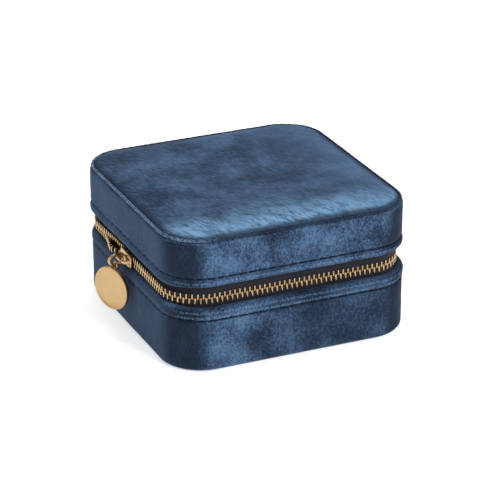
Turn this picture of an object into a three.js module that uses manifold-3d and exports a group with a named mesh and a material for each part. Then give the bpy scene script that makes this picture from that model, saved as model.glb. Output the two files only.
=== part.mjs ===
// Zip-round travel jewelry case: a rounded square box of velvet-covered board whose lid turns on a
// fabric hinge at the back. A metal zip runs round the left side, the front and the right side.
// Millimetres, +Z up. The origin is the centre of the underside; the front faces -Y and the zip's
// slider with its round charm is on the left side, which faces -X.
import * as THREE from "three";
import { mergeVertices } from "three/addons/utils/BufferGeometryUtils.js";
import Module from "manifold-3d";

const wasm = await Module();
wasm.setup();

// ---------------------------------------------------------------- driving dimensions
const CASE_WIDTH = 100; // outer width and depth
const CORNER_RADIUS = 17; // outer corners, seen from above
const CASE_HEIGHT = 55; // floor to the crown of the top panel
const BASE_BAND_TOP = 26; // upper edge of the lower velvet band
const LID_BAND_BOTTOM = 34.5; // lower edge of the upper velvet band
const GAP = 0.3; // clearance between neighbouring layers
const ARC_STEPS = 6; // facets in each quarter corner

// The wall's layers, each from its outer to its inner face, as insets from the outer outline.
const BAND = { outer: 0, inner: 1.3 };
const WALL_BOARD = { outer: 1.6, inner: 2.8 };
const TAPE = { outer: 3.1, inner: 3.6 };
const LINING = { outer: 3.9, inner: 4.7 };
const CHAIN_INSET = (TAPE.outer + TAPE.inner) / 2;

// Zip: a number 3 metal chain.
const CHAIN_HEIGHT = 29.1; // the chain's centre line above the floor
const TOOTH_PITCH = 2.03;
const TOOTH_WIDTH = 0.86;
const TOOTH_DRAFT = 0.1; // each flank leans in by this much
const TOOTH_DEPTH = 2.2; // across the tape
const ROW_SPINE = [2.05, 1.1]; // a row's continuous part, from and to the centre line
const TOOTH_OVERLAP = 0.45; // how far tooth tips pass the centre line
const HINGE_HALF_WIDTH = 29.5; // the zip stops this far to each side of the back's middle

const LEFT_OUT = 1.65; // along the left side, where the slider pulls it, the chain stands further out

// Slider, pull link and charm, on the left side.
const SLIDER = { y: -0.3, length: 10.5, halfHeight: 2.95, tailHalfHeight: 2.6 };
const PLATE_FRONT = [-0.5, 0.4]; // insets of the slider's outer plate
const PLATE_BACK = [3.1, 3.9]; // and of its inner plate
const BRIDGE = { inset: -2.85, z: 29, radius: 0.5, halfLength: 3.9 };
const LINK = { y: 0, inset: -4.1, z: 28.8, halfLong: 2.6, halfShort: 2, wire: 1.35 };
const CHARM = { inset: -6, y: 0, z: 17.45, radius: 8.75, thickness: 1.5, yaw: 24 };
const EYE = { z: 26.6, hole: 1.0, outer: 1.7, thickness: 0.9 };

// Heights of the base's layers.
const BOTTOM_PANEL_TOP = 1.0;
const BOARD = 1.6;
const FLOOR_BOARD_BOTTOM = BOTTOM_PANEL_TOP + GAP;
const BASE_LINING_BOTTOM = FLOOR_BOARD_BOTTOM + BOARD + GAP;
const FLOOR_LINING_TOP = BASE_LINING_BOTTOM + 1;
const BASE_BOARD_TOP = 24.7;
const BASE_LINING_TOP = 24.3;
const FITTINGS_BOTTOM = FLOOR_LINING_TOP + GAP;
const DIVIDER_TOP = 24;
const DIVIDER = 1.8; // thickness of a divider
const ROLL = { count: 4, width: 10.2, pitch: 10.5, top: 21.5 };

// Heights of the lid's layers, from the top down.
const LID_BAND_TOP = 52.2;
const PIPING = { inset: 1.05, z: 53.05, radius: 0.55 }; // the raised seam round the top panel
const TOP_PANEL_BOTTOM = 52.6;
const FOAM = [49.9, TOP_PANEL_BOTTOM - GAP];
const LID_BOARD = [48.0, FOAM[0] - GAP];
const LID_PANEL = [46.6, LID_BOARD[0] - GAP];
const LID_BOARD_BOTTOM = 35.9;
const LID_LINING_BOTTOM = 36.3;
const LID_INSIDE_TOP = LID_PANEL[0] - GAP;

// Necklace tabs and pocket inside the lid.
const TAB = { spacing: 20, width: 9, length: 17.4, thickness: 1, root: -37.9, top: 45.7 };
const SNAP_Y = TAB.root + 13.6;
const POCKET = { halfWidth: 37, front: -9, back: 40, bottom: 40.9, wall: 0.9 };

const HALF = CASE_WIDTH / 2;
const STRAIGHT = HALF - CORNER_RADIUS; // from a side's middle to where its corner begins
const INSIDE = HALF - LINING.inner - GAP;

// ---------------------------------------------------------------- closed solids from points

// A closed mesh from points and outward or inward polygons; it is turned outward if needed.
function closedSolid(points, polygons) {
  const triangles = [];
  for (const p of polygons)
    for (let i = 1; i < p.length - 1; i++) triangles.push([p[0], p[i], p[i + 1]]);
  const volume = triangles.reduce(
    (sum, [a, b, c]) => sum + points[a].dot(points[b].clone().cross(points[c])),
    0,
  );
  if (volume < 0) triangles.forEach((t) => t.reverse());
  const geometry = new THREE.BufferGeometry().setFromPoints(points);
  geometry.setIndex(triangles.flat());
  return geometry;
}

// Joins equal sections, each a polygon of points, into one solid; an open run gets end caps.
function loft(sections, caps, isLoop) {
  const n = sections[0].length;
  const points = sections.flat();
  const polygons = [];
  const runs = isLoop ? sections.length : sections.length - 1;
  for (let k = 0; k < runs; k++) {
    const here = k * n;
    const next = ((k + 1) % sections.length) * n;
    for (let i = 0; i < n; i++) {
      const j = (i + 1) % n;
      polygons.push([here + i, here + j, next + j, next + i]);
    }
  }
  if (!isLoop) {
    const last = (sections.length - 1) * n;
    for (const t of caps) {
      polygons.push(t.toReversed());
      polygons.push(t.map((i) => last + i));
    }
  }
  return closedSolid(points, polygons);
}

function capOf(outline) {
  const flat = outline.map(([a, b]) => new THREE.Vector2(a, b));
  return THREE.ShapeUtils.triangulateShape(flat, []);
}

// ---------------------------------------------------------------- the case's outline

// One station of the outer outline: a point and its inward normal. Stations run from the middle
// of the back by the left side, the front and the right side. s is the length along the outline
// drawn at the given inset.
function stationAt(s, inset) {
  const arc = ((CORNER_RADIUS - inset) * Math.PI) / 2;
  let rest = s;
  for (let side = 0; side < 5; side++) {
    const turn = Math.PI / 2 + (side * Math.PI) / 2; // direction from the middle to this side
    const out = new THREE.Vector2(Math.cos(turn), Math.sin(turn));
    const along = new THREE.Vector2(-out.y, out.x);
    const run = side === 0 || side === 4 ? STRAIGHT : 2 * STRAIGHT;
    const start = side === 0 ? 0 : -STRAIGHT;
    if (rest <= run || side === 4) {
      const at = out.clone().multiplyScalar(HALF).addScaledVector(along, start + rest);
      return { at, inward: out.negate() };
    }
    rest -= run;
    if (rest <= arc) {
      const angle = turn + rest / (CORNER_RADIUS - inset);
      const centre = out.clone().add(along).multiplyScalar(STRAIGHT);
      const normal = new THREE.Vector2(Math.cos(angle), Math.sin(angle));
      const at = centre.addScaledVector(normal, CORNER_RADIUS);
      return { at, inward: normal.negate() };
    }
    rest -= arc;
  }
}

function outlineLength(inset) {
  return 8 * STRAIGHT + 2 * Math.PI * (CORNER_RADIUS - inset);
}

// The stations of the whole outline, with no two at one place: corner facets joined by straights.
function outlineStations() {
  const stations = [];
  for (let corner = 0; corner < 4; corner++)
    for (let k = 0; k <= ARC_STEPS; k++) {
      const angle = Math.PI / 2 + ((corner + k / ARC_STEPS) * Math.PI) / 2;
      const normal = new THREE.Vector2(Math.cos(angle), Math.sin(angle));
      const middle = Math.PI * (0.75 + corner / 2);
      const centre = new THREE.Vector2(Math.sign(Math.cos(middle)), Math.sign(Math.sin(middle)));
      const at = centre.multiplyScalar(STRAIGHT).addScaledVector(normal, CORNER_RADIUS);
      stations.push({ at, inward: normal.negate() });
    }
  return stations;
}

function place({ at, inward }, inset, z) {
  return new THREE.Vector3(at.x + inward.x * inset, at.y + inward.y * inset, z);
}

// A wall all round the case, from a closed profile of [inset, z] points.
function wallRing(profile) {
  const sections = outlineStations().map((s) => profile.map(([i, z]) => place(s, i, z)));
  return loft(sections, [], true);
}

// A rounded square slab, from levels of [inset, z] points, lowest first.
function slab(levels) {
  const stations = outlineStations();
  const sections = levels.map(([inset, z]) => stations.map((s) => place(s, inset, z)));
  return loft(sections, capOf(stations.map((s) => s.at.toArray())), false);
}

const plainRing = ({ outer, inner }, bottom, top) =>
  wallRing([[outer, bottom], [outer, top], [inner, top], [inner, bottom]]);
const plainSlab = (inset, bottom, top) => slab([[inset, bottom], [inset, top]]);

// ---------------------------------------------------------------- booleans and simple solids

function toManifold(geometry) {
  const bare = geometry.clone();
  bare.deleteAttribute("normal");
  bare.deleteAttribute("uv");
  const merged = mergeVertices(bare, 1e-4);
  const mesh = new wasm.Mesh({
    numProp: 3,
    vertProperties: merged.attributes.position.array,
    triVerts: new Uint32Array(merged.index.array),
  });
  return new wasm.Manifold(mesh);
}

function fromManifold(solid) {
  const { vertProperties, triVerts } = solid.getMesh();
  const geometry = new THREE.BufferGeometry();
  geometry.setAttribute("position", new THREE.BufferAttribute(vertProperties, 3));
  return geometry.setIndex(new THREE.BufferAttribute(triVerts, 1));
}

const unite = (...parts) =>
  fromManifold(parts.map(toManifold).reduce((whole, part) => whole.add(part)));
const trim = (part, by) => fromManifold(toManifold(part).intersect(toManifold(by)));

// A box between two corners.
function block([x0, y0, z0], [x1, y1, z1]) {
  const geometry = new THREE.BoxGeometry(x1 - x0, y1 - y0, z1 - z0);
  return geometry.translate((x0 + x1) / 2, (y0 + y1) / 2, (z0 + z1) / 2);
}

// A shape drawn in a side view, with Y to the right and Z up, and given thickness along X.
function sidePlate(outline, x0, x1) {
  const shape = new THREE.Shape(outline.map(([y, z]) => new THREE.Vector2(y, z)));
  const geometry = new THREE.ExtrudeGeometry(shape, { depth: x1 - x0, bevelEnabled: false });
  geometry.rotateX(Math.PI / 2).rotateZ(Math.PI / 2);
  return geometry.translate(x0, 0, 0);
}

// An upright-axis button between two heights, with its rim eased.
function button(x, y, radius, bottom, top) {
  const ease = (top - bottom) / 3;
  const profile = [[0, bottom], [radius - ease, bottom], [radius, bottom + ease], [radius, top], [0, top]];
  const geometry = new THREE.LatheGeometry(profile.map(([r, h]) => new THREE.Vector2(r, h)), 16);
  return geometry.rotateX(Math.PI / 2).translate(x, y, 0);
}

// ---------------------------------------------------------------- zip

// The chain's ends, as lengths along its own path from the middle of the back.
const CHAIN_START = HINGE_HALF_WIDTH + 1;
const CHAIN_END = outlineLength(CHAIN_INSET) - CHAIN_START;
const LEFT_MIDDLE = STRAIGHT + ((CORNER_RADIUS - CHAIN_INSET) * Math.PI) / 2 + STRAIGHT;

// Behind the slider the rows stand apart: they part at its nose, the lower one leans out over the
// velvet band, and both meet again at the corner.
const PARTING = {
  wedge: SLIDER.y + 0.3, nose: SLIDER.y + SLIDER.length / 2 + 0.35, settle: 11, end: 33,
  lean: 2.7, leanDelay: 2.2, drop: 0.3, noseDrop: 0.95, rise: 0.7,
};
const smooth = (t) => THREE.MathUtils.smoothstep(t, 0, 1);

// How far the chain stands out: fully along the left side, fading away in the corners next to it.
function leftOut(s) {
  const corner = ((CORNER_RADIUS - CHAIN_INSET) * Math.PI) / 2;
  const frontCorner = LEFT_MIDDLE + STRAIGHT;
  return LEFT_OUT * smooth((s - STRAIGHT - 1) / (0.7 * corner)) *
    (1 - smooth((s - frontCorner) / (0.85 * corner)));
}

// The lower row's lean, from 0 to 1: it grows slowly from the corner and ends at the slider's nose.
function bulge(y) {
  const t = THREE.MathUtils.clamp((PARTING.end - y) / (PARTING.end - PARTING.nose), 0, 1);
  return Math.sin(Math.PI * t ** PARTING.leanDelay) ** 2;
}

function rowShift(s, isLower) {
  const { wedge, nose, settle, end, lean, drop, noseDrop, rise } = PARTING;
  const y = LEFT_MIDDLE - s;
  const parted = smooth((y - wedge) / 1.6) * (1 - smooth((y - settle) / (end - settle)));
  const settled = smooth((y - nose) / 3);
  const apart = THREE.MathUtils.lerp(noseDrop, isLower ? drop : rise, settled) * parted;
  return isLower
    ? { inset: -leftOut(s) - lean * bulge(y), z: -apart }
    : { inset: -leftOut(s), z: apart };
}

// One row of teeth: a spine with a tooth at every pitch, pointing to the chain's centre line.
function toothRow(isLower) {
  const up = isLower ? 1 : -1;
  const first = CHAIN_START + (isLower ? 0 : TOOTH_PITCH / 2);
  const count = Math.floor((CHAIN_END - first - TOOTH_WIDTH) / TOOTH_PITCH) + 1;
  const points = [];
  const add = (s, away) => {
    const station = stationAt(s, CHAIN_INSET);
    const shift = rowShift(s, isLower);
    const z = CHAIN_HEIGHT - up * away + shift.z;
    for (const side of [-1, 1])
      points.push(place(station, CHAIN_INSET + (side * TOOTH_DEPTH) / 2 + shift.inset, z));
    return points.length - 2;
  };
  const [far, near] = ROW_SPINE;
  const teeth = [];
  for (let i = 0; i < count; i++) {
    const s = first + i * TOOTH_PITCH;
    teeth.push({
      base: add(s, far),
      left: add(s, near),
      right: add(s + TOOTH_WIDTH, near),
      tipLeft: add(s + TOOTH_DRAFT, -TOOTH_OVERLAP),
      tipRight: add(s + TOOTH_WIDTH - TOOTH_DRAFT, -TOOTH_OVERLAP),
    });
  }
  const lastBase = add(first + (count - 1) * TOOTH_PITCH + TOOTH_WIDTH, far);
  const polygons = [];
  const face = (...p) => {
    polygons.push(p);
    polygons.push(p.map((i) => i + 1).reverse());
  };
  const wall = (p, q) => polygons.push([q, p, p + 1, q + 1]);
  teeth.forEach((t, i) => {
    const next = teeth[i + 1];
    if (next) {
      face(t.base, next.base, next.left, t.right, t.left);
      wall(t.base, next.base);
      wall(next.left, t.right);
    } else {
      face(t.base, lastBase, t.right, t.left);
      wall(t.base, lastBase);
      wall(lastBase, t.right);
    }
    face(t.left, t.right, t.tipRight, t.tipLeft);
    wall(t.right, t.tipRight);
    wall(t.tipRight, t.tipLeft);
    wall(t.tipLeft, t.left);
  });
  wall(teeth[0].left, teeth[0].base);
  return closedSolid(points, polygons);
}

// The stations of a tape: few on the straights, closer in the corners and beside the slider.
function tapeStations() {
  const stops = new Set([HINGE_HALF_WIDTH, outlineLength(CHAIN_INSET) - HINGE_HALF_WIDTH]);
  const arc = ((CORNER_RADIUS - CHAIN_INSET) * Math.PI) / 2;
  for (let corner = 0; corner < 4; corner++)
    for (let k = 0; k <= ARC_STEPS; k++)
      stops.add(STRAIGHT + corner * (2 * STRAIGHT + arc) + (k * arc) / ARC_STEPS);
  for (let y = PARTING.end; y > 0; y -= 2.2) stops.add(LEFT_MIDDLE - y);
  const apart = 0.05; // stops nearer than this are one
  return [...stops].sort((a, b) => a - b).filter((s, i, all) => i === 0 || s - all[i - 1] > apart);
}

// One tape: it hangs or stands behind its band and carries its row of teeth on the free edge.
function tape(isLower, farEdge) {
  const up = isLower ? 1 : -1;
  const fold = CHAIN_HEIGHT - up * 3.5;
  const edge = CHAIN_HEIGHT - up * (ROW_SPINE[0] + GAP);
  const half = (TAPE.inner - TAPE.outer) / 2;
  const sectionAt = (s) => {
    const shift = rowShift(s, isLower);
    const lean = CHAIN_INSET + shift.inset;
    return [
      [TAPE.outer, farEdge],
      [TAPE.outer, fold],
      [lean - half, edge + shift.z],
      [lean + half, edge + shift.z],
      [TAPE.inner, fold],
      [TAPE.inner, farEdge],
    ];
  };
  const stops = tapeStations();
  const sections = stops.map((s) =>
    sectionAt(s).map(([inset, z]) => place(stationAt(s, CHAIN_INSET), inset, z)));
  return loft(sections, [[0, 1, 4, 5], [1, 2, 3, 4]], false);
}

// The slider: two plates joined by the wedge between the rows, with guide flanges along its tail
// and a round bridge for the pull.
function sliderBody() {
  const { y, length, halfHeight, tailHalfHeight } = SLIDER;
  const tail = y - length / 2;
  const nose = y + length / 2;
  const z = CHAIN_HEIGHT;
  const outline = [
    [tail, z - tailHalfHeight + 0.5], [tail + 0.6, z - tailHalfHeight],
    [nose - 3, z - halfHeight], [nose - 1, z - halfHeight], [nose, z - 1.2],
    [nose, z + 1.2], [nose - 1, z + halfHeight], [nose - 3, z + halfHeight],
    [tail + 0.6, z + tailHalfHeight], [tail, z + tailHalfHeight - 0.5],
  ];
  const wedge = [[nose - 2.6, z], [nose - 1.4, z - 0.35], [nose - 0.3, z - 0.4],
    [nose - 0.3, z + 0.4], [nose - 1.4, z + 0.35]];
  const x = (inset) => -HALF + inset;
  const parts = [
    sidePlate(outline, x(PLATE_FRONT[0]), x(PLATE_FRONT[1])),
    sidePlate(outline, x(PLATE_BACK[0]), x(PLATE_BACK[1])),
    sidePlate(wedge, x(PLATE_FRONT[1] - 0.2), x(PLATE_BACK[0] + 0.2)),
  ];
  const flangeEnd = y - 0.6;
  for (const side of [-1, 1]) {
    const zs = [z + side * 2.3, z + side * 2.6].sort((a, b) => a - b);
    parts.push(block([x(PLATE_FRONT[1] - 0.2), tail + 0.8, zs[0]],
      [x(PLATE_FRONT[1] + 0.8), flangeEnd, zs[1]]));
    parts.push(block([x(PLATE_BACK[0] - 0.6), tail + 0.8, zs[0]],
      [x(PLATE_BACK[0] + 0.2), flangeEnd, zs[1]]));
  }
  const bar = new THREE.CylinderGeometry(BRIDGE.radius, BRIDGE.radius, 2 * BRIDGE.halfLength, 10);
  parts.push(bar.translate(x(BRIDGE.inset), y, BRIDGE.z));
  for (const end of [-1, 1]) {
    const from = y + end * BRIDGE.halfLength;
    const ys = [from, from - end * 1.1].sort((a, b) => a - b);
    parts.push(block([x(BRIDGE.inset) - BRIDGE.radius, ys[0], BRIDGE.z - 0.8],
      [x(PLATE_FRONT[0] + 0.2), ys[1], BRIDGE.z + 0.8]));
  }
  return unite(...parts);
}

// The pull link: an oval ring of round wire that stands across the slider and hangs on the bridge.
function pullLink() {
  const steps = 24;
  const wireSteps = 8;
  const sections = [];
  for (let k = 0; k < steps; k++) {
    const t = (2 * Math.PI * k) / steps;
    const centre = new THREE.Vector3(LINK.halfLong * Math.cos(t), 0, LINK.halfShort * Math.sin(t));
    const normal = new THREE.Vector3(Math.cos(t) / LINK.halfLong, 0, Math.sin(t) / LINK.halfShort);
    normal.normalize();
    const section = [];
    for (let i = 0; i < wireSteps; i++) {
      const a = (2 * Math.PI * i) / wireSteps;
      const p = centre.clone().addScaledVector(normal, (LINK.wire / 2) * Math.cos(a));
      p.y += (LINK.wire / 2) * Math.sin(a);
      section.push(p);
    }
    sections.push(section);
  }
  return loft(sections, [], true).translate(-HALF + LINK.inset, LINK.y, LINK.z);
}

// The charm: a round plate with an eased rim, and an eye behind its top edge for the link.
function charm() {
  const half = CHARM.thickness / 2;
  const ease = 0.3;
  const profile = [[0, -half], [CHARM.radius - ease, -half], [CHARM.radius, ease - half],
    [CHARM.radius, half - ease], [CHARM.radius - ease, half], [0, half]];
  const plate = new THREE.LatheGeometry(profile.map(([r, h]) => new THREE.Vector2(r, h)), 36);
  plate.rotateZ(Math.PI / 2).rotateZ(THREE.MathUtils.degToRad(CHARM.yaw));
  plate.translate(-HALF + CHARM.inset, CHARM.y, CHARM.z);
  const eyeX = -HALF + LINK.inset;
  const ring = new THREE.LatheGeometry(
    [[EYE.hole, -1], [EYE.outer, -1], [EYE.outer, 1], [EYE.hole, 1], [EYE.hole, -1]].map(
      ([r, h]) => new THREE.Vector2(r, (h * EYE.thickness) / 2)), 16);
  ring.rotateZ(Math.PI / 2).translate(eyeX, CHARM.y, EYE.z);
  const foot = block([-HALF + CHARM.inset + 0.3, CHARM.y - 0.7, EYE.z - 4],
    [eyeX + EYE.thickness / 2, CHARM.y + 0.7, EYE.z - EYE.hole - 0.3]);
  return unite(plate, ring, foot);
}

// A metal stop clamped over one end of the chain.
function endStop(side) {
  const x = side * (HINGE_HALF_WIDTH - 0.2);
  const y = HALF - CHAIN_INSET;
  return block([x - 0.7, y - 0.9, CHAIN_HEIGHT - 1.6], [x + 0.7, y + 0.9, CHAIN_HEIGHT + 1.6]);
}

// ---------------------------------------------------------------- base

function baseBand() {
  const t = BASE_BAND_TOP;
  return wallRing([[0, 2.6], [0, t - 1.5], [0.35, t - 0.4], [0.95, t], [BAND.inner, t - 0.7],
    [BAND.inner, 1], [1.7, 1], [1.7, 0.3], [0.9, 0.6], [0.3, 1.3]]);
}

function bottomPanel() {
  return slab([[2.3, 0], [2, 0.3], [2, BOTTOM_PANEL_TOP]]);
}

// One ring roll, running front to back; its ends follow the case's inner corners.
function ringRoll(index) {
  const r = ROLL.width / 2;
  const x = -INSIDE + r + 0.1 + index * ROLL.pitch;
  const shape = new THREE.Shape();
  shape.moveTo(x - r, FITTINGS_BOTTOM);
  shape.lineTo(x + r, FITTINGS_BOTTOM);
  shape.lineTo(x + r, ROLL.top - r);
  shape.absarc(x, ROLL.top - r, r, 0, Math.PI, false);
  const options = { depth: 2 * INSIDE, bevelEnabled: false, curveSegments: 8 };
  const bar = new THREE.ExtrudeGeometry(shape, options).rotateX(Math.PI / 2).translate(0, INSIDE, 0);
  return trim(bar, plainSlab(LINING.inner + GAP, FITTINGS_BOTTOM - 1, ROLL.top + 1));
}

const rollsEnd = -INSIDE + 0.1 + ROLL.count * ROLL.pitch;
const middleDivider = [rollsEnd + GAP, rollsEnd + GAP + DIVIDER];
const crossDivider = [7, 7 + DIVIDER];
const earringX = (middleDivider[1] + INSIDE) / 2;

function divider(x0, y0, x1, y1) {
  const board = block([x0, y0, FITTINGS_BOTTOM], [x1, y1, DIVIDER_TOP]);
  return trim(board, plainSlab(LINING.inner + GAP, FITTINGS_BOTTOM - 1, DIVIDER_TOP + 1));
}

// ---------------------------------------------------------------- lid

function lidBand() {
  const b = LID_BAND_BOTTOM;
  return wallRing([[0.95, b], [0.35, b + 0.4], [0, b + 1.5], [0, LID_BAND_TOP - 0.9],
    [0.3, LID_BAND_TOP - 0.2], [0.7, LID_BAND_TOP], [BAND.inner, LID_BAND_TOP],
    [BAND.inner, b + 0.7]]);
}

function seamPiping() {
  const profile = [];
  for (let k = 0; k < 6; k++) {
    const a = (k * Math.PI) / 3;
    profile.push([PIPING.inset + PIPING.radius * Math.cos(a), PIPING.z + PIPING.radius * Math.sin(a)]);
  }
  return wallRing(profile);
}

// The padded top panel, highest in its middle.
function topPanel() {
  return slab([[1.9, TOP_PANEL_BOTTOM], [1.9, 53.0], [2.4, 53.6], [3.6, 54.1], [6.5, 54.6],
    [10.5, 54.9], [14.5, CASE_HEIGHT]]);
}

function necklaceTab(x) {
  const { width, length, thickness, root, top } = TAB;
  const r = width / 2;
  const shape = new THREE.Shape();
  shape.moveTo(x - r, root);
  shape.lineTo(x + r, root);
  shape.lineTo(x + r, root + length - r);
  shape.absarc(x, root + length - r, r, 0, Math.PI, false);
  const options = { depth: thickness, bevelEnabled: false, curveSegments: 8 };
  return new THREE.ExtrudeGeometry(shape, options).translate(0, 0, top - thickness);
}

// The pocket: one sheet with three walls, open towards the front edge of the lid.
function lidPocket() {
  const { halfWidth: w, front, back, bottom, wall } = POCKET;
  const top = LID_INSIDE_TOP;
  return unite(
    block([-w, front, bottom], [w, back, bottom + wall]),
    block([-w, front, bottom], [wall - w, back, top]),
    block([w - wall, front, bottom], [w, back, top]),
    block([-w, back - wall, bottom], [w, back, top]),
  );
}

// A fabric strip across the back's middle, between two insets and two heights.
function hingeStrip(halfWidth, [outer, inner], bottom, top) {
  return block([-halfWidth, HALF - inner, bottom], [halfWidth, HALF - outer, top]);
}

// ---------------------------------------------------------------- materials

const finish = (color, roughness, metalness) => ({ color, roughness, metalness });
const VELVET = finish(0x2c4363, 0.85, 0);
const SUEDE = finish(0x9fa9b8, 0.95, 0);
const GREYBOARD = finish(0x8d8a84, 0.9, 0);
const FOAM_WHITE = finish(0xdcd9d0, 0.95, 0);
const TAPE_CLOTH = finish(0x1b1c28, 0.9, 0);
const GOLD = finish(0xd9b06a, 0.28, 1);

// ---------------------------------------------------------------- assembly

const jewelryCase = new THREE.Group();

function addTo(group, name, geometry, look) {
  const mesh = new THREE.Mesh(geometry, new THREE.MeshStandardMaterial(look));
  mesh.name = name;
  group.add(mesh);
}

function addBase() {
  const base = new THREE.Group();
  const add = (...args) => addTo(base, ...args);
  add("base_bottom_panel", bottomPanel(), VELVET);
  add("base_velvet_band", baseBand(), VELVET);
  add("base_floor_board", plainSlab(WALL_BOARD.outer, FLOOR_BOARD_BOTTOM, FLOOR_BOARD_BOTTOM + BOARD),
    GREYBOARD);
  add("base_wall_board", plainRing(WALL_BOARD, BASE_LINING_BOTTOM, BASE_BOARD_TOP), GREYBOARD);
  add("base_wall_lining", plainRing(LINING, BASE_LINING_BOTTOM, BASE_LINING_TOP), SUEDE);
  add("base_floor_lining", plainSlab(LINING.inner + GAP, BASE_LINING_BOTTOM, FLOOR_LINING_TOP), SUEDE);
  for (let i = 0; i < ROLL.count; i++) add(`ring_roll_${i + 1}`, ringRoll(i), SUEDE);
  const [m0, m1] = middleDivider;
  add("middle_divider", divider(m0, -INSIDE, m1, INSIDE), SUEDE);
  add("cross_divider", divider(m1 + GAP, crossDivider[0], INSIDE, crossDivider[1]), SUEDE);
  add("earring_divider", divider(earringX, crossDivider[1] + GAP, earringX + DIVIDER, INSIDE), SUEDE);
  add("zip_tape_lower", tape(true, 14), TAPE_CLOTH);
  add("zip_teeth_lower", toothRow(true), GOLD);
  add("zip_stop_left", endStop(-1), GOLD);
  add("zip_stop_right", endStop(1), GOLD);
  add("hinge_strip_outer", hingeStrip(HINGE_HALF_WIDTH - 1.5, [0.2, 1.1],
    BASE_BAND_TOP + 0.4, LID_BAND_BOTTOM - 0.4), VELVET);
  add("hinge_strip_lining", hingeStrip(HINGE_HALF_WIDTH - 1.5, [LINING.outer, LINING.inner],
    BASE_LINING_TOP + GAP, LID_LINING_BOTTOM - GAP), SUEDE);
  jewelryCase.add(base);
}

function addLid() {
  const lid = new THREE.Group();
  const add = (...args) => addTo(lid, ...args);
  add("lid_top_panel", topPanel(), VELVET);
  add("lid_seam_piping", seamPiping(), VELVET);
  add("lid_velvet_band", lidBand(), VELVET);
  add("lid_foam_pad", plainSlab(WALL_BOARD.outer, ...FOAM), FOAM_WHITE);
  add("lid_top_board", plainSlab(WALL_BOARD.outer, ...LID_BOARD), GREYBOARD);
  add("lid_wall_board", plainRing(WALL_BOARD, LID_BOARD_BOTTOM, LID_PANEL[1]), GREYBOARD);
  add("lid_inner_panel", plainSlab(WALL_BOARD.inner + GAP, ...LID_PANEL), SUEDE);
  add("lid_wall_lining", plainRing(LINING, LID_LINING_BOTTOM, LID_INSIDE_TOP), SUEDE);
  add("zip_tape_upper", tape(false, 41), TAPE_CLOTH);
  add("zip_teeth_upper", toothRow(false), GOLD);
  add("lid_pocket", lidPocket(), SUEDE);
  add("lid_pocket_elastic", block([-POCKET.halfWidth, POCKET.front - 1.8, POCKET.bottom - GAP],
    [POCKET.halfWidth, POCKET.front - GAP, POCKET.bottom + POCKET.wall]), SUEDE);
  add("necklace_bar", block([-30, TAB.root - 5.5, TAB.top - TAB.thickness],
    [30, TAB.root - 0.7, LID_INSIDE_TOP]), SUEDE);
  jewelryCase.add(lid);
}

function addNecklaceTabs() {
  for (let i = 0; i < 3; i++) {
    const x = (i - 1) * TAB.spacing;
    const under = TAB.top - TAB.thickness - GAP;
    addTo(jewelryCase, `necklace_tab_${i + 1}`, necklaceTab(x), SUEDE);
    addTo(jewelryCase, `snap_cap_${i + 1}`, button(x, SNAP_Y, 3.6, under - 0.9, under), GOLD);
    addTo(jewelryCase, `snap_socket_${i + 1}`, button(x, SNAP_Y, 3.2, TAB.top + 0.25,
      LID_INSIDE_TOP + 0.05), GOLD);
  }
}

function addPull() {
  addTo(jewelryCase, "slider_body", sliderBody(), GOLD);
  addTo(jewelryCase, "pull_link", pullLink(), GOLD);
  addTo(jewelryCase, "pull_charm", charm(), GOLD);
}

addBase();
addLid();
addNecklaceTabs();
addPull();

export default jewelryCase;
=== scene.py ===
"""Zip-round travel jewelry case: navy velvet over board, a gold metal zip with a round charm, and a
suede interior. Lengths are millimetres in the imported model's frame; mesh_piece() makes them metres.
The front faces -Y. The slider is on the left side, which faces -X."""

import math

import bmesh
import bpy
import numpy as np
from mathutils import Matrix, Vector, noise


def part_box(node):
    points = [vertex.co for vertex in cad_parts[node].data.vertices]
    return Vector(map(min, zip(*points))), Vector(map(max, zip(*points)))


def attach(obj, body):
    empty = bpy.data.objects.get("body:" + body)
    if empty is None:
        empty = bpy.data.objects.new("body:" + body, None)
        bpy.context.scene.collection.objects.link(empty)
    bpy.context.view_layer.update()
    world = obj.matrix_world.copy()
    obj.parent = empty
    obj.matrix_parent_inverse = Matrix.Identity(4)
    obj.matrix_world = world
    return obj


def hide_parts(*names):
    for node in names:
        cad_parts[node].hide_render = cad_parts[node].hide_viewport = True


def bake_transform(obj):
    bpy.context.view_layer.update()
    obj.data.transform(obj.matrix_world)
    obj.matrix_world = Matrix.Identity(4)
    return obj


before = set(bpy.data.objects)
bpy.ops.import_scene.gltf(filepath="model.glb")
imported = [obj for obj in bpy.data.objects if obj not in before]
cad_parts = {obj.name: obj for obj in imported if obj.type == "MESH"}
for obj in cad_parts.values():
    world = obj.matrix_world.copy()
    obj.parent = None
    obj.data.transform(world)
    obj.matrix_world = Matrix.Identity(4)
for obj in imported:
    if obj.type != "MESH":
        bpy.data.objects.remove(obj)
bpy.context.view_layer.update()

# ---------------------------------------------------------------- dimensions
MM = 0.001
X, Y, Z = range(3)


def span(node, axis):
    """Lowest and highest coordinate of a CAD node along one axis."""
    low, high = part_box(node)
    return low[axis] / MM, high[axis] / MM


def spans(node):
    return [span(node, axis) for axis in (X, Y, Z)]


HALF = span("base_velvet_band", X)[1]
CORNER = 17.0  # outer corner radius, seen from above
STRAIGHT = HALF - CORNER
BASE_TOP = span("base_velvet_band", Z)[1]
LID_BOTTOM, LID_TOP = span("lid_velvet_band", Z)
BASE_STITCH = 21.0  # height of the base's topstitching
LID_STITCH = 38.1
STITCH_PITCH = 4.1
GROOVE_DEPTH = 0.48
GROOVE_WIDTH = 0.70

CHAIN_INSET = 3.35
CHAIN_Z = 29.1
TOOTH_PITCH = 2.03
TOOTH_WIDTH = 0.86
HINGE_HALF_WIDTH = 29.5
BEAD_DROP = 1.25  # from the chain's centre line to the corded edge of a tape
TAPE_HALF = 0.25
FOLD_DROP = 3.9  # from the chain's centre line to where a tape folds away

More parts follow.
